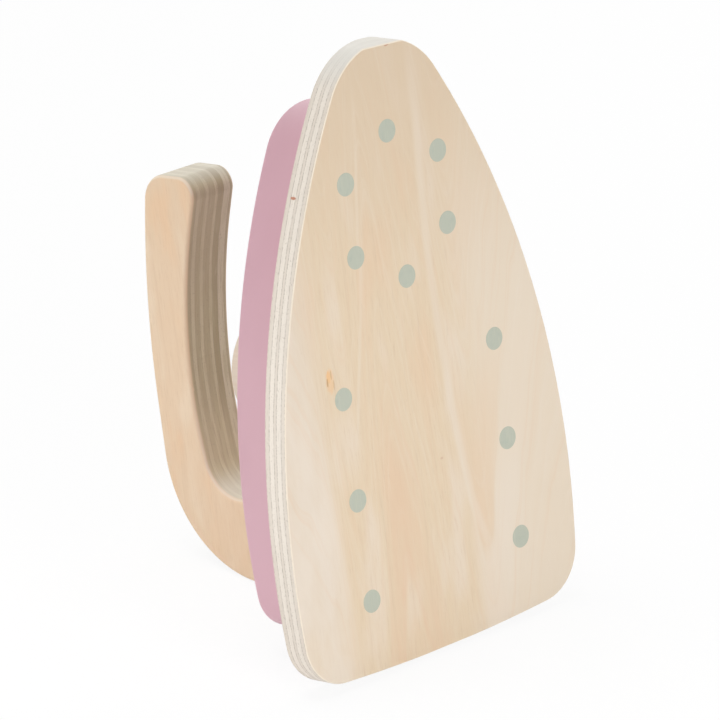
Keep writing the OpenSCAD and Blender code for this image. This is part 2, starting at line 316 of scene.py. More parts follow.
def board(path, thickness, radius, to_bench):
    """Bench points and faces of a board. to_bench places its flat x, y, height and inset."""
    tight = drawn_in(path, SKIN)
    points = []
    rings = edge_rings(thickness - 2 * SKIN, radius)
    for inner, height in rings:
        points += [to_bench(p.x, p.y, SKIN + height, inner) for p in drawn_in(tight, inner)]
    return points, ring_faces(len(rings), len(path))


print("three rings of four points have", len(ring_faces(3, 4)), "faces")

# %% [markdown]
# ## Shader maths in Python
# Wood needs many small sums: stretch a place, bend it with noise, cut it into plies. Wiring them
# by hand is slow to read. A small class wraps an output socket, so that a plus sign or a product
# adds the Math node. Colours and vectors never go through it: they have their own Mix node.

# %% Sockets with operators
class Wire:
    """An output socket of a finish. Arithmetic on it adds Math nodes."""

    def __init__(self, finish, socket):
        self.finish = finish
        self.socket = socket

    def __add__(self, other):
        return self.finish.maths("ADD", self, other)

    def __sub__(self, other):
        return self.finish.maths("SUBTRACT", self, other)

    def __rsub__(self, other):
        return self.finish.maths("SUBTRACT", other, self)

    def __mul__(self, other):
        return self.finish.maths("MULTIPLY", self, other)

    def __truediv__(self, other):
        return self.finish.maths("DIVIDE", self, other)

    def __rtruediv__(self, other):
        return self.finish.maths("DIVIDE", other, self)

    def __abs__(self):
        return self.finish.maths("ABSOLUTE", self)

    __radd__ = __add__
    __rmul__ = __mul__


print("a Wire also works on the right of", [name for name in vars(Wire) if name.startswith("__r")])

# %% [markdown]
# ## One method for every node
# A material is a small tree of nodes. Each node needs its type, its settings, and values or links
# for its sockets. Links that are typed one by one hide what they make. So one method takes all
# three and gives back the output as a Wire. The settings go first, because some of them change
# which sockets a node has. The other methods are the few things that wood and paint need often.

# %% A finish and its nodes
MIX_SHARE, MIX_UNDER, MIX_OVER, MIX_RESULT = 0, 6, 7, 2


class Finish:
    """The nodes of a material or a world."""

    def __init__(self, owner):
        self.owner = owner
        owner.use_nodes = True
        self.tree = owner.node_tree
        self.tree.nodes.clear()

    def node(self, kind, settings=None, values=None, output=0):
        """Adds a node. Its settings come first, then the values or links of its sockets."""
        made = self.tree.nodes.new(kind)
        for name, value in (settings or {}).items():
            if name == "stops":
                self.set_stops(made.color_ramp, value)
            elif name == "between_stops":
                made.color_ramp.interpolation = value
            else:
                setattr(made, name, value)
        for key, value in (values or {}).items():
            if isinstance(value, Wire):
                self.tree.links.new(value.socket, made.inputs[key])
            else:
                made.inputs[key].default_value = value
        return Wire(self, made.outputs[output]) if made.outputs else None

    def maths(self, operation, *values):
        return self.node("ShaderNodeMath", {"operation": operation}, dict(enumerate(values)))

    def set_stops(self, ramp, stops):
        """Stops are (position, colour or number), from the first at 0 to the last at 1."""
        full = [(at, (v, v, v, 1) if isinstance(v, (int, float)) else v) for at, v in stops]
        for element, (at, colour) in zip((ramp.elements[0], ramp.elements[1]), (full[0], full[-1])):
            element.position = at
            element.color = colour
        for at, colour in full[1:-1]:
            ramp.elements.new(at).color = colour

    def place(self):
        """The piece's own place on the bench, in millimetres, as one vector."""
        return self.node("ShaderNodeAttribute", {"attribute_name": GRAIN_PLACE}, output="Vector")

    def axes(self, vector):
        return [self.node("ShaderNodeSeparateXYZ", None, {0: vector}, axis) for axis in "XYZ"]

    def noise(self, x, y, z, detail=2.0, roughness=0.5):
        """Soft noise from 0 to 1. One unit of x, y or z is about one blot."""
        where = self.node("ShaderNodeCombineXYZ", None, {"X": x, "Y": y, "Z": z})
        sizes = {"Vector": where, "Scale": 1.0, "Detail": detail, "Roughness": roughness}
        return self.node("ShaderNodeTexNoise", None, sizes)

    def ease(self, value, low, high, start=0.0, end=1.0):
        """Runs smoothly from start to end while value goes from low to high."""
        sizes = {"Value": value, "From Min": low, "From Max": high, "To Min": start, "To Max": end}
        return self.node("ShaderNodeMapRange", {"interpolation_type": "SMOOTHSTEP"}, sizes)

    def mix(self, under, over, share):
        """Lays one colour over another, as far as share says."""
        values = {MIX_SHARE: share, MIX_UNDER: under, MIX_OVER: over}
        return self.node("ShaderNodeMix", {"data_type": "RGBA"}, values, MIX_RESULT)

    def close(self, colour, roughness, height=None, depth=0.0, **constants):
        """Ends the material with its surface. A height gives a bump of the depth, in metres."""
        values = {"Base Color": colour, "Roughness": roughness, **constants}
        if height is not None:
            bump = {"Height": height, "Distance": depth}
            values["Normal"] = self.node("ShaderNodeBump", None, bump)
        surface = self.node("ShaderNodeBsdfPrincipled", None, values)
        self.node("ShaderNodeOutputMaterial", None, {"Surface": surface})
        print(self.owner.name, "has", len(self.tree.nodes), "nodes")
        return self.owner


# %% [markdown]
# ## Colours as the eye reads them
# Paint charts and photographs give colours from 0 to 255 on a screen scale, and the shader works
# with light itself. One function turns the first into the second, so every colour below can be
# read and changed by eye.

# %% Screen colours
def tone(red, green, blue):
    """A screen colour as the shader's linear one."""
    linear = []
    for value in (red, green, blue):
        share = value / 255
        linear.append(share / 12.92 if share <= 0.04045 else ((share + 0.055) / 1.055) ** 2.4)
    return (*linear, 1.0)


print("cream is", [round(v, 3) for v in tone(229, 211, 184)])

# %% [markdown]
# ## Long grain
# The face of light plywood is one thin sheet of wood. From afar it is cream with peach and pale
# clouds that run with the grain. Nearer, it has soft streaks, and nearest, hair-thin fibres and
# short pores. One noise can't hold three scales, so each scale is its own noise, stretched along
# the grain by its own amount, and they are laid over each other from the largest to the smallest.

# %% The veneer of a board
def veneer(finish, across, along, seed, tones, cloud_mm):
    """Colour and height of long grain, on a place that is bent a little first."""
    base, peach, pale, line = tones
    bent = across + finish.noise(across / 60, along / 90, seed, 1) * 6
    clouds = finish.noise(bent / cloud_mm[0], along / cloud_mm[1], seed + 3, 2, 0.55)
    colour = finish.mix(base, peach, finish.ease(clouds, 0.48, 0.72, 0, 0.9))
    colour = finish.mix(colour, pale, finish.ease(clouds, 0.48, 0.28, 0, 0.7))
    streaks = finish.noise(bent / 1.6, along / 60, seed + 7, 3, 0.6)
    colour = finish.mix(colour, line, finish.ease(streaks, 0.52, 0.80, 0, 0.22))
    colour = finish.mix(colour, pale, finish.ease(streaks, 0.46, 0.22, 0, 0.35))
    fibres = finish.noise(bent / 0.5, along / 7, seed + 11, 3, 0.7)
    colour = finish.mix(colour, line, finish.ease(fibres, 0.50, 0.80, 0, 0.42))
    colour = finish.mix(colour, pale, finish.ease(fibres, 0.48, 0.25, 0, 0.30))
    pores = finish.ease(finish.noise(bent / 0.22, along / 1.7, seed + 17, 1), 0.70, 0.80)
    colour = finish.mix(colour, line, pores * 0.45)
    return colour, fibres * 0.4 - pores * 0.6


print("the veneer has clouds, streaks, fibres and pores")

# %% [markdown]
# ## The edge of plywood
# Where plywood is cut, its plies show as bands. The ones that run across look duller and are
# specked with open pores, and a dark, broken glue line lies between two plies. The depth in the
# board decides which ply a point is in, so the bands follow every curve by themselves. A stripe
# picture wrapped round the edge would slide and stretch at the corners.

# %% Bands, glue lines and pores
GLUE = tone(146, 129, 110)
GLUE_MM = 0.15


def plies(finish, place, depth, thickness, rows, glue_share):
    """Colour of the cut edge, from rows of (depth where the ply starts, colour)."""
    x, y, z = place
    wave = finish.noise(x / 22, y / 22, z / 22, 1) * 0.5 - 0.25
    ragged = finish.noise(x / 0.9, y / 0.9, z / 0.9, 2) * 0.16 - 0.08
    share = (depth + wave + ragged) / thickness
    bands = [(start / thickness, ply) for start, ply in rows] + [(1, rows[-1][1])]
    banded = {"between_stops": "CONSTANT", "stops": bands}
    colour = finish.node("ShaderNodeValToRGB", banded, {0: share})
    lines = [(0, 0)]
    for start, _ in rows[1:]:
        glued = ((start - GLUE_MM, 0), (start, 1), (start + GLUE_MM, 0))
        lines += [(at / thickness, dark) for at, dark in glued]
    line = finish.node("ShaderNodeValToRGB", {"stops": lines + [(1, 0)]}, {0: share})
    broken = finish.ease(finish.noise(x / 0.8, y / 0.8, z / 0.8, 3, 0.7), 0.40, 0.60, 0.25, 1)
    streaks = finish.noise(x / 4, y / 4, depth / 0.22, 3, 0.6)
    colour = finish.mix(colour, GLUE, finish.ease(streaks, 0.50, 0.82, 0, 0.35))
    pores = finish.ease(finish.noise(x / 0.5, y / 0.5, z / 0.5, 1), 0.62, 0.76, 0, 0.30)
    colour = finish.mix(colour, GLUE, pores)
    return finish.mix(colour, GLUE, line * broken * glue_share)


def facing(finish, axis):
    """1 where the surface looks along the axis, 0 where it looks across it and -1 against it."""
    normal = finish.node("ShaderNodeTexCoord", output="Normal")
    both = {0: normal, 1: axis}
    return finish.node("ShaderNodeVectorMath", {"operation": "DOT_PRODUCT"}, both, "Value")


print("a glue line is about", 2 * GLUE_MM, "mm wide")

# %% [markdown]
# ## Small marks
# A knot, a mineral fleck or a speck of bark is what tells one real board from another. Each is a
# small ragged blot. A painted picture could hold them, but a blot that is worked out from its
# distance to a place on the bench stays sharp at any size, and one line places it.

# %% A ragged blot
def blot(finish, place, centre, half_sizes, ragged=0.9):
    """1 inside a small ellipsoid on the bench, with a torn rim."""
    away = finish.node("ShaderNodeVectorMath", {"operation": "SUBTRACT"}, {0: place, 1: centre})
    scaled = finish.node("ShaderNodeVectorMath", {"operation": "DIVIDE"}, {0: away, 1: half_sizes})
    distance = finish.node("ShaderNodeVectorMath", {"operation": "LENGTH"}, {0: scaled}, "Value")
    x, y, z = finish.axes(place)
    torn = finish.noise(x / 0.5, y / 1.2, z / 0.5, 3, 0.7)
    return finish.ease(distance + (torn - 0.5) * ragged, 1.15, 0.70)


print("a blot is one centre and three half sizes")

# %% [markdown]
# ## The figure of the sole's face
# The sheet on the sole was peeled from a round log, so its year layers show as long tongues that
# point up or down. They are level lines of one height: a bumpy profile across the board plus the
# distance along it. Noise alone gives wavy smoke instead of tongues. So the profile across is given
# as a row of heights, and its lines, the pale tongues at both sides and the reddish one in
# the middle all come from that single height.

# %% The layers across the board
LAYER_SPAN = 52.0
LAYER_LOW, LAYER_HIGH = -40.0, 170.0
LAYERS_ACROSS = [
    (-52, 55), (-42, 72), (-34, 97), (-27, 122), (-22, 143), (-18, 158), (-14, 143), (-9, 108),
    (-2, 80), (3.5, 43), (8, 16), (9.5, 6), (11.4, 0), (13.5, 8), (15.5, 22), (17.5, 44),
    (20, 70), (22.5, 84), (25, 94), (28, 88), (31, 65), (35, 5), (40, -15), (52, -35),
]
PALE_STREAK = [(17, -19), (26, -17), (35, -14.3), (45, -12.7), (60, -10.8), (75, -9.6),
               (95, -8.6), (115, -8.6), (135, -9.4), (160, -9.8)]
FINE_LINE = [(57, 25), (65, 23), (78, 20.5), (90, 18), (102, 16), (115, 15), (130, 13), (155, 11)]


def curve_through(finish, value, low, high, rows, bottom, top):
    """A smooth curve through (value, result) rows, as a ramp."""
    stops = [((at - low) / (high - low), (result - bottom) / (top - bottom)) for at, result in rows]
    if stops[0][0] > 0:
        stops.insert(0, (0, stops[0][1]))
    if stops[-1][0] < 1:
        stops.append((1, stops[-1][1]))
    share = (value - low) / (high - low)
    curved = {"between_stops": "CARDINAL", "stops": stops}
    ramp = finish.node("ShaderNodeValToRGB", curved, {0: share})
    return ramp * (top - bottom) + bottom


print("the layers lie highest at x =", max(LAYERS_ACROSS, key=lambda row: row[1])[0])

# %% Broad drifts
SOLE_TONES = (tone(228, 207, 178), tone(230, 202, 171), tone(233, 217, 198), tone(206, 178, 147))
REDDISH = tone(228, 198, 168)
WHITISH = tone(236, 224, 210)
GREYISH = tone(232, 217, 197)
MARGIN = tone(227, 213, 197)
NOSE_PAINTED_SHADE = tone(220, 198, 171)


def sole_drifts(finish, colour, x, y):
    """Greyer to the right, darker towards the nose as painted shade, and paler along the left edge.
    """
    greyer = finish.ease(x, -8, -28) * finish.ease(y, 150, 95, 0.30, 0.85)
    colour = finish.mix(colour, GREYISH, greyer)
    # Painted shade: the face darkens towards the nose, the top of the standing iron.
    colour = finish.mix(colour, NOSE_PAINTED_SHADE, finish.ease(y, 85, 165, 0, 0.75))
    margin = finish.ease(x, 29, 42) * finish.ease(y, 130, 100) * finish.ease(y, 6, 28, 0.2, 0.62)
    return finish.mix(colour, MARGIN, margin)


print("the plain grain has", len(SOLE_TONES), "tones")

# %% Tongues
def sole_tongues(finish, colour, x, y, layer):
    """Pale tongues at both sides, a warm band beside the right one, and a reddish tongue between."""
    patchy = finish.noise(x / 9, y / 30, 41, 3, 0.6)
    left_pale = finish.ease(layer, 84, 45) * finish.ease(x, 24, 30)
    right_pale = finish.ease(layer, 182, 172) * finish.ease(layer, 120, 158)
    right_pale = right_pale * finish.ease(x, -11, -16)
    colour = finish.mix(colour, WHITISH, left_pale * finish.ease(patchy, 0.30, 0.65, 0.20, 0.62))
    colour = finish.mix(colour, WHITISH, right_pale * finish.ease(y, 55, 30, 0.12, 0.45))
    between = finish.ease(layer, 176, 186) * finish.ease(layer, 225, 198) * finish.ease(x, -10, -13)
    colour = finish.mix(colour, SOLE_TONES[1], between * finish.ease(y, 85, 50, 0, 0.35))
    # The reddish tongue is darkest along its two outlines.
    middle = finish.ease(layer, 84, 70, 0, 0.35) + finish.ease(layer, 68, 50, 0, 0.45)
    middle = middle - finish.ease(layer, 32, 20, 0, 0.5)
    upper_outline = finish.ease(abs(layer - 78), 6, 0, 0, 0.45)
    outline = upper_outline + finish.ease(abs(layer - 28), 7, 1, 0, 0.5)
    inside = finish.ease(x, 25, 20) * finish.ease(x, -4, 3)
    reddish = (middle + outline) * inside * finish.ease(patchy, 0.32, 0.62, 0.30, 0.85)
    return finish.mix(colour, REDDISH, reddish)


print("the tongues follow", len(LAYERS_ACROSS), "heights across")

# %% [markdown]
# ## Lines and pale streaks
# Finer lines run along the same layers. They are noise that is read along the height, so they bend
# with the tongues and never cross them. Two pale streaks go their own way. Nothing in the height
# could give them, so each is a curve through a few places on the board, and fades at both ends.

# %% Lines and streaks
def sole_lines(finish, colour, x, y, layer):
    """Colour with lines and streaks, and the lines alone, for the bump."""
    lines = finish.noise(layer / 8, y / 160, 12, 3, 0.65)
    colour = finish.mix(colour, REDDISH, finish.ease(lines, 0.52, 0.74, 0, 0.30))
    colour = finish.mix(colour, WHITISH, finish.ease(lines, 0.48, 0.28, 0, 0.18))
    for rows, half, strength in ((PALE_STREAK, 1.3, 0.36), (FINE_LINE, 0.5, 0.26)):
        middle_x = curve_through(finish, y, 0, SOLE_LENGTH, rows, -30, 30)
        start, end = rows[0][0], rows[-1][0]
        ends_faded = finish.ease(y, start - 4, start + 12) * finish.ease(y, end + 4, end - 30)
        near = finish.ease(abs(x - middle_x), half * 1.7, half * 0.3)
        colour = finish.mix(colour, WHITISH, near * ends_faded * strength)
    return colour, lines


def sole_figure(finish, colour, x, y):
    """Lays the whole figure of the sole's face over its plain grain."""
    sway = finish.noise(x / 7, y / 40, 31, 2) * 14 - 7
    edges = (-LAYER_SPAN, LAYER_SPAN)
    profile = curve_through(finish, x, *edges, LAYERS_ACROSS, LAYER_LOW, LAYER_HIGH)
    layer = profile + y + sway
    colour = sole_drifts(finish, colour, x, y)
    colour = sole_tongues(finish, colour, x, y, layer)
    return sole_lines(finish, colour, x, y, layer)


print("the pale streak passes", len(PALE_STREAK), "places, the fine line", len(FINE_LINE))

# %% [markdown]
# ## The sole plate
# Its board is about 8 mm thick: thin face sheets, three dull plies and two bright ones. The arris,
# where the face turns over, is sanded through to pale wood and shines like a thin line. At the
# nose the tip has a small slanting flat, so it is blunt and safe, and its sanded end grain is grey.
# A brown knot mark sits beside a dot, with a fleck in the edge, a speck at the nose and one lower
# down. The marks are rows of a table, so one more is one more line.

# %% The sole's plies and marks
SOLE_THICK = 7.8
ARRIS = tone(243, 231, 213)
BRIGHT_PLY = tone(235, 226, 214)
DULL_PLY = tone(224, 214, 201)
SOLE_ROWS = [(0, ARRIS), (0.35, DULL_PLY), (1.6, BRIGHT_PLY), (3.3, DULL_PLY), (4.3, BRIGHT_PLY),
             (5.95, DULL_PLY), (7.35, BRIGHT_PLY)]
KNOT = tone(238, 188, 128)
KNOT_CORE = tone(178, 128, 70)
FLECK = tone(186, 118, 84)
NOSE_GREY = tone(219, 216, 208)
FACE_MARKS = [
    ((30.5, 79.4, 0), (1.5, 3.4, 2), KNOT, 0.42), ((30.9, 80.6, 0), (0.7, 1.7, 2), KNOT, 0.6),
    ((30.0, 80.9, 0), (0.25, 1.2, 2), KNOT_CORE, 0.35),
    ((31.5, 79.2, 0), (0.3, 1.2, 2), KNOT_CORE, 0.55),
    ((29.3, 78.2, 0), (0.3, 1.6, 2), KNOT_CORE, 0.25),
    ((-2.4, 159.0, 0), (0.9, 0.35, 1), FLECK, 0.6), ((-4.9, 49.3, 0), (0.55, 0.35, 1), FLECK, 0.26),
]
EDGE_FLECK_AT = (30.7, 126.7, 5.2)
EDGE_FLECK_HALVES = (0.6, 0.40, 1.0)

print("the sole has", len(SOLE_ROWS), "layers, and its face", len(FACE_MARKS), "marks")

# %% The sole's plywood
def sole_plywood():
    finish = Finish(bpy.data.materials.new("sole_plywood"))
    place = finish.place()
    x, y, z = finish.axes(place)
    face_colour, height = veneer(finish, x, y, 21, SOLE_TONES, (12, 45))
    face_colour, lines = sole_figure(finish, face_colour, x, y)
    for centre, halves, mark, share in FACE_MARKS:
        face_colour = finish.mix(face_colour, mark, blot(finish, place, centre, halves) * share)
    edge_colour = plies(finish, (x, y, z), z, SOLE_THICK, SOLE_ROWS, 0.85)
    fleck = blot(finish, place, EDGE_FLECK_AT, EDGE_FLECK_HALVES)
    edge_colour = finish.mix(edge_colour, FLECK, fleck * 0.9)
    # Grey end grain at the nose, then the pale arris, then the face.
    flat = abs(facing(finish, dial_axis))
    on_upward_faces = finish.ease(facing(finish, along_row), 0.45, 0.95, 0, 0.85)
    edge_colour = finish.mix(edge_colour, NOSE_GREY, on_upward_faces)
    colour = finish.mix(edge_colour, ARRIS, finish.ease(flat, 0.15, 0.45, 0, 0.8))
    colour = finish.mix(colour, face_colour, finish.ease(flat, 0.80, 0.97))
    return finish.close(colour, height * 0.08 + 0.52, height + lines * 0.3, depth=0.05 * MM)


sole_wood = sole_plywood()

# %% The sole plate's board
SOLE_EDGE = 0.5
NOSE_FLAT_Y = 159.4
NOSE_FLAT_TILT = 0.055
NOSE_FLAT_SLANT = 0.15


def on_bench(x, y, height, inset):
    """The sole plate's own place, with the slanting flat at its nose."""
    flat_y = NOSE_FLAT_Y + NOSE_FLAT_TILT * x + NOSE_FLAT_SLANT * height - inset
    return (x, min(y, flat_y), height)


sole_points, sole_faces = board(sole_outline, SOLE_THICK, SOLE_EDGE, on_bench)
sole = piece("sole_board", sole_points, sole_faces, sole_wood, "iron", "sole_plate")
sole_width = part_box("sole_plate")[1].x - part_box("sole_plate")[0].x
print("sole width", round(sole.dimensions.x / MM, 2), "mm, in the frame", round(sole_width / MM, 2))

# %% [markdown]
# ## The printed dots
# The dots are screen-printed in a soft sage green: a thin, even film with a slightly soft rim that
# lets a little of the grain through. A painted mask on the wood would do, but the print is a thing
# of its own that can be recoloured, so each dot is a very thin disc that lies on the face.

# %% Places of the dots
DOT_R = 3.0
DOT_PROUD = 0.03
RING_R = 19.2
RING_Y = 118.2
ROW_HALF = 55.1 / 2
ROWS_Y = [20.3, 47.3, 74.3]
PRINT_TURN = -1.5
PRINT_SHIFT = 0.3


def dot_places():
    """Bench places of the dots: a ring of six, then three rows of two, all turned a little."""
    print_turn = Matrix.Rotation(math.radians(PRINT_TURN), 2)
    ring = [polar(RING_R, 90 + 60 * i) for i in range(6)]
    rows = [Vector((side * ROW_HALF, y - RING_Y)) for y in ROWS_Y for side in (-1, 1)]
    return [print_turn @ p + Vector((PRINT_SHIFT, RING_Y)) for p in ring + rows]


print(len(dot_places()), "dots")

# %% The ink
SAGE = tone(187, 191, 176)
SAGE_THIN = tone(200, 200, 182)
SAGE_THICK = tone(178, 185, 171)


def sage_ink():
    finish = Finish(bpy.data.materials.new("sage_ink"))
    x, y, _ = finish.axes(finish.place())
    fibres = finish.noise(x / 0.45, y / 9, 3, 3, 0.6)
    patches = finish.noise(x / 1.6, y / 2.2, 8, 2)
    colour = finish.mix(SAGE, SAGE_THIN, finish.ease(fibres, 0.45, 0.8, 0, 0.6))
    colour = finish.mix(colour, SAGE_THICK, finish.ease(patches, 0.5, 0.75, 0, 0.5))
    return finish.close(colour, 0.62, fibres, depth=0.02 * MM)


ink = sage_ink()

# %% The discs
DOT_SIDES = 40
DOT_RINGS = [(1.0, 0.0), (0.995, 0.6), (0.975, 1.0), (0.5, 1.0)]


def dot_mesh(places):
    """Thin closed discs with a soft rim, as points and faces. The rings run down from the face."""
    downwards = [tuple(reversed(face)) for face in ring_faces(len(DOT_RINGS), DOT_SIDES)]
    points, faces = [], []
    for middle in places:
        faces += [tuple(len(points) + i for i in face) for face in downwards]
        for share, proud in DOT_RINGS:
            rim = [middle + polar(DOT_R * share, 360 * i / DOT_SIDES) for i in range(DOT_SIDES)]
            points += [(p.x, p.y, SKIN - DOT_PROUD * proud) for p in rim]
    return points, faces


dot_points, dot_faces = dot_mesh(dot_places())
piece("printed_dots", dot_points, dot_faces, ink, "iron", "sole_dots")

# %% [markdown]
# ## The painted block
# The block behind the sole plate is solid wood under an even, matt pink paint. Sprayed paint hides
# the grain, but not quite: it lies a hair lower in the pores. Its colour drifts a little where it
# was laid on thicker. Towards the heel, the low end of the standing iron, it is painted a touch
# lighter: painted light, for the light from below. These are small, and without them the block
# would look like plastic.

# %% The paint
PINK = tone(204, 162, 173)
PINK_THICK = tone(201, 159, 170)
PINK_HEEL_PAINTED_LIGHT = tone(214, 173, 185)
PINK_PORE = tone(198, 154, 166)


def pink_paint():
    finish = Finish(bpy.data.materials.new("pink_paint"))
    x, y, z = finish.axes(finish.place())
    drift = finish.noise(x / 30, y / 45, z / 20, 2)
    colour = finish.mix(PINK, PINK_THICK, finish.ease(drift, 0.35, 0.65))
    # Painted light: the paint gets lighter towards the heel, where the light from below is
    # strongest.
    colour = finish.mix(colour, PINK_HEEL_PAINTED_LIGHT, finish.ease(y, 75, 15, 0, 0.85))
    grain = finish.noise(x / 0.9, y / 16, z / 0.9, 3, 0.6)
    colour = finish.mix(colour, PINK_PORE, finish.ease(grain, 0.55, 0.85, 0, 0.22))
    mist = finish.noise(x / 0.5, y / 0.5, z / 0.5, 2)
    return finish.close(colour, mist * 0.1 + 0.45, grain * 0.7 + mist * 0.3, depth=0.04 * MM)


paint = pink_paint()

# %% The block's board
BLOCK_BACK = 9.2
BLOCK_EDGE = 1.2


def on_sole(x, y, height, inset):
    return (x, y + BLOCK_BACK, height + SOLE_THICK)


block_points, block_faces = board(block_outline, BODY_TOP - SOLE_THICK, BLOCK_EDGE, on_sole)
piece("painted_block", block_points, block_faces, paint, "iron", "body_block")

# %% [markdown]
# ## The handle
# The handle's board is twice as thick, of nine plies, with broad rounded edges. Its faces look to
# the two sides, and its plies show all round, along the grip and over the open end. They differ
# little here, except for a dark ply and a light one near the far face. The open end is sanded end
# grain, so it looks grey, and the back of the grip, which was rounded by machine, is clean and
# greyish too. The inside of the bend is painted pale: painted light, for the light that falls into
# it from above. Under the grip it is a little browner. The face sheet is warmer than the sole's,
# and where its rounded edge faces up it is cream: thinned veneer, and painted light as well, since
# only the edges that face up get it.

# %% The handle's tones and plies
HANDLE_TONES = (tone(228, 201, 170), tone(231, 197, 161), tone(232, 211, 184), tone(204, 171, 136))
HANDLE_CREAM_AND_PAINTED_LIGHT = tone(232, 215, 194)
HANDLE_GREY = tone(197, 193, 186)
HANDLE_PALE_PAINTED_LIGHT = tone(232, 229, 224)
HANDLE_BROWN = tone(192, 173, 139)
HANDLE_OLIVE = tone(206, 196, 160)
HANDLE_DEEP = tone(190, 176, 144)
HANDLE_DULL = tone(203, 190, 158)
HANDLE_SOFT = tone(222, 211, 183)
HANDLE_LIGHT = tone(229, 219, 194)
HANDLE_BEND_PAINTED_LIGHT = tone(237, 224, 189)
HANDLE_GRIP_BROWN = tone(180, 163, 132)
HANDLE_ROWS = [
    (0, HANDLE_DULL), (1.9, HANDLE_SOFT), (3.2, HANDLE_DULL), (5.0, HANDLE_SOFT),
    (6.2, HANDLE_DULL), (8.5, HANDLE_SOFT), (9.5, HANDLE_DEEP), (11.6, HANDLE_LIGHT),
    (13.8, HANDLE_DULL),
]

print("the handle has", len(HANDLE_ROWS), "plies in", HANDLE_THICK, "mm")

# %% The handle's plywood
def handle_plywood():
    finish = Finish(bpy.data.materials.new("handle_plywood"))
    x, y, z = finish.axes(finish.place())
    face_colour, height = veneer(finish, z, y, 5, HANDLE_TONES, (9, 26))
    # The cut plies, mottled, darker and browner along the middle of the grip, and painted lighter in
    # the bend: painted light, for the light that falls into it from above.
    depth = HANDLE_THICK / 2 - x
    edge_colour = plies(finish, (x, y, z), depth, HANDLE_THICK, HANDLE_ROWS, 0.12)
    mottles = finish.noise(x / 2.6, y / 14, z / 14, 2, 0.6)
    edge_colour = finish.mix(edge_colour, HANDLE_OLIVE, finish.ease(mottles, 0.45, 0.70, 0, 0.45))
    # Painted light: a lighter tone on the edges in the bend, for the light from above.
    edge_colour = finish.mix(edge_colour, HANDLE_BEND_PAINTED_LIGHT, finish.ease(y, 64, 44, 0, 0.45))
    # Darker and browner along the middle of the grip.
    grip_middle = finish.ease(y, 72, 100, 0, 0.26) * finish.ease(y, 122, 110, 0.25, 1)
    edge_colour = finish.mix(edge_colour, HANDLE_GRIP_BROWN, grip_middle)
    streaks = finish.noise(x / 0.5, y / 9, z / 9, 3, 0.6)
    edge_colour = finish.mix(edge_colour, HANDLE_BROWN, finish.ease(streaks, 0.50, 0.72, 0, 0.55))
    edge_colour = finish.mix(edge_colour, HANDLE_LIGHT, finish.ease(streaks, 0.42, 0.26, 0, 0.35))
    # On what faces up: grey end grain at the open end, and near the bend a pale tone that is painted
    # light. Then the clean grey back of the grip.
    upwards = facing(finish, along_row)
    on_upward_faces = finish.mix(HANDLE_PALE_PAINTED_LIGHT, HANDLE_GREY, finish.ease(y, 60, 100))
    edge_colour = finish.mix(edge_colour, on_upward_faces, finish.ease(upwards, 0.35, 0.95, 0, 0.44))
    outwards = facing(finish, dial_axis)
    edge_colour = finish.mix(edge_colour, HANDLE_GREY, finish.ease(outwards, 0.10, 0.60, 0, 0.45))
    # The rounded edge, cream where it faces up: thinned veneer, and painted light, since only the
    # edges that face up get it. Then the face.
    flat = abs(facing(finish, across_row))
    edge_colour = finish.mix(edge_colour, HANDLE_TONES[0], finish.ease(flat, 0.15, 0.55, 0, 0.9))
    # Painted light: the cream lies only on rounded edges that face up.
    cream = finish.ease(flat, 0.25, 0.55) * finish.ease(upwards, -0.10, 0.25, 0, 0.9)
    colour = finish.mix(edge_colour, HANDLE_CREAM_AND_PAINTED_LIGHT, cream)
    colour = finish.mix(colour, face_colour, finish.ease(flat, 0.72, 0.95))
    return finish.close(colour, height * 0.08 + 0.5, height, depth=0.05 * MM)


handle_wood = handle_plywood()

# %% The handle's board
HANDLE_EDGE = 1.3


def on_edge(along, up, height, inset):
    """A board that stands on edge in the iron's middle plane."""
    return (height - HANDLE_THICK / 2, along + HANDLE_FOOT_Y, up + BODY_TOP)


handle_points, handle_faces = board(handle_path, HANDLE_THICK, HANDLE_EDGE, on_edge)
piece("handle_board", handle_points, handle_faces, handle_wood, "iron", "handle")

# %% [markdown]
# ## The knob
# The knob is a short turned peg. A lathe makes it, and the mesh is made the same way: a profile of
# a few arcs is spun about the axis. Its side shows faint long grain that runs up to the rim, and
# its top shows end grain with year rings, which sit off the middle as in most turned pegs.

# %% The knob's wood
RING_OFF_X, RING_OFF_Y = 21.0, -9.0
PEG = tone(216, 201, 183)
PEG_GRAIN = tone(209, 191, 170)
PEG_RING = tone(206, 184, 156)
PEG_FLECK = tone(198, 172, 142)


def knob_wood():
    finish = Finish(bpy.data.materials.new("knob_wood"))
    x, y, z = finish.axes(finish.place())
    grain = finish.noise(x / 1.1, y / 1.1, z / 26, 3, 0.6)
    colour = finish.mix(PEG, PEG_GRAIN, finish.ease(grain, 0.45, 0.78, 0, 0.7))
    off_x, off_y = x - RING_OFF_X, y - RING_OFF_Y
    from_heart = finish.maths("SQRT", off_x * off_x + off_y * off_y)
    uneven = finish.noise(x / 9, y / 9, z / 60, 2) * 3
    rings = finish.noise((from_heart + uneven) / 1.3, 0.5, z / 90, 2, 0.6)
    colour = finish.mix(colour, PEG_RING, finish.ease(rings, 0.50, 0.80, 0, 0.5))
    flecks = finish.noise(x / 0.5, y / 0.5, z / 2.4, 1)
    colour = finish.mix(colour, PEG_FLECK, finish.ease(flecks, 0.66, 0.78, 0, 0.3))
    return finish.close(colour, grain * 0.1 + 0.5, grain, depth=0.04 * MM)


turned_wood = knob_wood()

# %% Spinning the knob
KNOB_R = 17.0
KNOB_H = 22.0
KNOB_EDGE = 1.0
KNOB_GAP = 0.3
KNOB_CROWN = 0.35
KNOB_SIDES = 96
CROWN_RINGS = 6


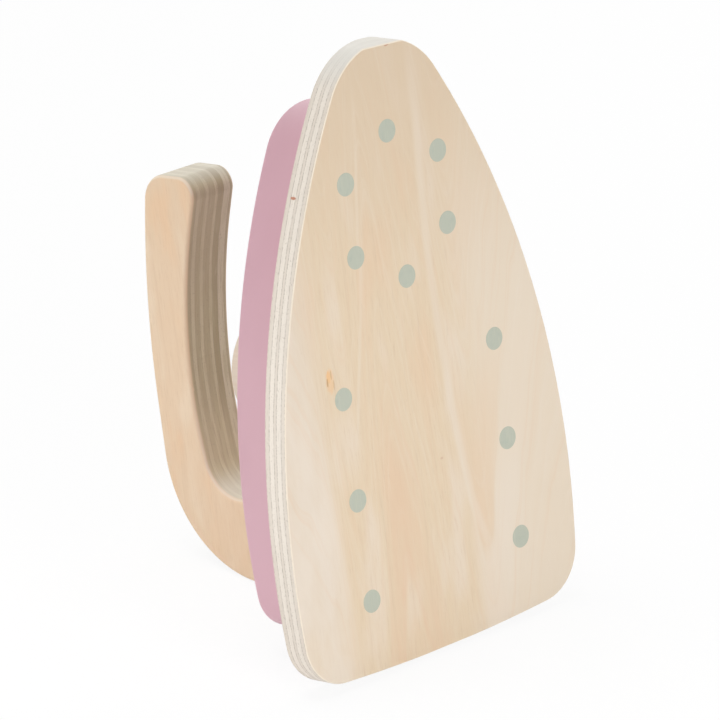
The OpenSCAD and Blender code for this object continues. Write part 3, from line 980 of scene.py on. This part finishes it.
def knob_profile():
    """(radius, height) from the foot's rim up the side and over the crown. Caps close both ends."""
    flat_r = KNOB_R - KNOB_EDGE
    shoulder = KNOB_H - KNOB_CROWN - KNOB_EDGE
    low = [Vector((flat_r, KNOB_EDGE)) + polar(KNOB_EDGE, a) for a in range(-90, 1, 15)]
    high = [Vector((flat_r, shoulder)) + polar(KNOB_EDGE, a) for a in range(0, 91, 15)]
    shares = [1 - k / CROWN_RINGS for k in range(1, CROWN_RINGS)]
    crown = [Vector((flat_r * s, KNOB_H - KNOB_CROWN * s * s)) for s in shares]
    return low + high + crown


def spun(profile):
    points = [(*(polar(r, 360 * i / KNOB_SIDES)), h) for r, h in profile for i in range(KNOB_SIDES)]
    return points, ring_faces(len(profile), KNOB_SIDES)


knob_points, knob_faces = spun(knob_profile())
knob_points = [(x, y + DIAL_FROM_HEEL, z + BODY_TOP + KNOB_GAP) for x, y, z in knob_points]
middle = (0, DIAL_FROM_HEEL, BODY_TOP)
piece("turning_knob", knob_points, knob_faces, turned_wood, "dial", "dial_knob", middle)

# %% [markdown]
# ## The hidden metal
# Two wood screws hold the handle's foot, and a screw with a washer holds the knob. They sit inside
# the block, and their solids already have the right shape, so they only get a finish: zinc, which
# is bright, a little blue and never quite even.

# %% Zinc on the screws and the washer
BLOOM_MM = 1.5


def zinc():
    finish = Finish(bpy.data.materials.new("zinc_plate"))
    x, y, z = finish.axes(finish.node("ShaderNodeTexCoord", None, None, "Object"))
    bloom_m = BLOOM_MM * MM
    bloom = finish.noise(x / bloom_m, y / bloom_m, z / bloom_m, 3, 0.6)
    colour = finish.mix(tone(190, 194, 200), tone(216, 218, 220), bloom)
    return finish.close(colour, bloom * 0.25 + 0.25, bloom, depth=0.02 * MM, Metallic=1.0)


plated = zinc()
for name in ("handle_screws", "dial_screw", "dial_washer"):
    for held in frame["nodes"][name].material_slots:
        held.material = plated
    print(name, "is zinc-plated")

# %% [markdown]
# ## The paper and the room
# The iron stands on white paper in even, soft light, as in a catalogue picture. Under lamps that
# keep the colours of the wood right, white paper alone would come out grey, and stronger lamps
# would bleach the wood. So what the camera sees of the paper has some light of its own: it stays
# white, and it still shows the soft shadow of the iron. A pale room fills in from all sides.

# %% The paper
PAPER_HALF = 3.0
PAPER_GLOW = 0.9


def seen_directly(finish):
    """1 for what the camera sees, straight, in a reflection or through glass."""
    kinds = ("Is Camera Ray", "Is Glossy Ray", "Is Transmission Ray")
    rays = [finish.node("ShaderNodeLightPath", output=kind) for kind in kinds]
    return finish.maths("MINIMUM", rays[0] + rays[1] + rays[2], 1)


def white_paper():
    finish = Finish(bpy.data.materials.new("white_paper"))
    paper = finish.node("ShaderNodeBsdfDiffuse", None, {"Color": (0.95, 0.95, 0.95, 1)})
    glow = finish.node("ShaderNodeEmission", None, {"Color": (1, 1, 1, 1), "Strength": 1.0})
    glows = seen_directly(finish) * PAPER_GLOW
    both = finish.node("ShaderNodeMixShader", None, {0: glows, 1: paper, 2: glow})
    finish.node("ShaderNodeOutputMaterial", None, {"Surface": both})
    return finish.owner


paper_mesh = bpy.data.meshes.new("paper")
corners = [(x * PAPER_HALF, y * PAPER_HALF, 0) for x, y in ((-1, -1), (1, -1), (1, 1), (-1, 1))]
paper_mesh.from_pydata(corners, [], [(0, 1, 2, 3)])
paper_mesh.materials.append(white_paper())
paper = bpy.data.objects.new("paper", paper_mesh)
bpy.context.scene.collection.objects.link(paper)
paper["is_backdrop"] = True
print("the paper is", 2 * PAPER_HALF, "m wide")

# %% The pale room
ROOM_LIGHT = 0.29

room = Finish(bpy.data.worlds.new("pale_room"))
bpy.context.scene.world = room.owner
soft = room.node("ShaderNodeBackground", None, {"Color": (1, 1, 1, 1), "Strength": ROOM_LIGHT})
white = room.node("ShaderNodeBackground", None, {"Color": (1, 1, 1, 1), "Strength": 1.0})
shown = room.node("ShaderNodeMixShader", None, {0: seen_directly(room), 1: soft, 2: white})
room.node("ShaderNodeOutputWorld", None, {"Surface": shown})
print("room light", ROOM_LIGHT)

# %% [markdown]
# ## The lamps
# A sun or a spot lamp would draw hard shadows on the paper. An area lamp is what a photographer
# calls a softbox: a big bright square. One above, with the white paper below, does most of the
# work. A weaker one stands low in front of the sole, a small one low at the left, and one at the
# right and one behind keep those sides from going dull. One function makes each of them from a
# place, a side and a power, and turns it towards the iron.

# %% The lamps
IRON_MIDDLE = (0, 0, 0.08)


def softbox(name, place, side, watts):
    """A square lamp that faces the iron."""
    data = bpy.data.lights.new(name, "AREA")
    data.size = side
    data.energy = watts
    lamp = bpy.data.objects.new(name, data)
    bpy.context.scene.collection.objects.link(lamp)
    lamp.location = place
    lamp.rotation_euler = (Vector(IRON_MIDDLE) - Vector(place)).to_track_quat("-Z", "Y").to_euler()
    print(name, watts, "W at", place)


softbox("top_softbox", (-0.15, 0.25, 1.15), side=0.7, watts=7.3)
softbox("front_softbox", (-0.10, -0.55, 0.19), side=0.22, watts=1.27)
softbox("left_softbox", (-0.27, 0.08, 0.052), side=0.1, watts=0.22)
softbox("right_softbox", (0.62, 0.05, 0.32), side=0.4, watts=0.78)
softbox("back_softbox", (0.5, 0.9, 0.5), side=0.6, watts=1.4)

# %% [markdown]
# ## The camera
# The picture was taken from far away with a long lens: lines that run back hardly draw together.
# The camera looks down by 22 degrees from the iron's front left. It is placed by an aim, a
# direction and a distance, which is how a photographer would say it.

# %% The long lens
CAMERA_TURN = 45.27
CAMERA_DROP = 22.255
CAMERA_ROLL = 0.911
CAMERA_DISTANCE = 1.6367
CAMERA_AIM = Vector((6.36, -13.39, 67.02)) * MM
LENS = 315.63
SENSOR = 36

turn, drop, roll = (math.radians(a) for a in (CAMERA_TURN, CAMERA_DROP, CAMERA_ROLL))
ahead = math.cos(drop)
forward = Vector((math.sin(turn) * ahead, math.cos(turn) * ahead, -math.sin(drop)))
level = Vector((forward.y, -forward.x, 0)).normalized()
right = level * math.cos(roll) + level.cross(forward) * math.sin(roll)
up = right.cross(forward)
lens = bpy.data.cameras.new("long_lens")
lens.lens = LENS
lens.sensor_width = SENSOR
lens.clip_start = 0.1
camera = bpy.data.objects.new("long_lens", lens)
bpy.context.scene.collection.objects.link(camera)
stand = Matrix((right, up, -forward)).transposed().to_4x4()
camera.matrix_world = Matrix.Translation(CAMERA_AIM - forward * CAMERA_DISTANCE) @ stand
bpy.context.scene.camera = camera
print("camera at", [round(v, 3) for v in camera.matrix_world.translation])

# %% [markdown]
# ## Size and hand-over
# The colours are shown as they are, without a film look. The box of the dressed iron is written
# beside the box of the solids, so that any piece that has grown out of its place is noticed.

# %% Colour, size and the end
bpy.context.scene.view_settings.view_transform = "Standard"

dressed_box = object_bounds()
boxes = {"solids": solid_box, "dressed": dressed_box}
for name, box in boxes.items():
    print(name, "from", [round(v / MM, 2) for v in box[0]], "to", [round(v / MM, 2) for v in box[1]])
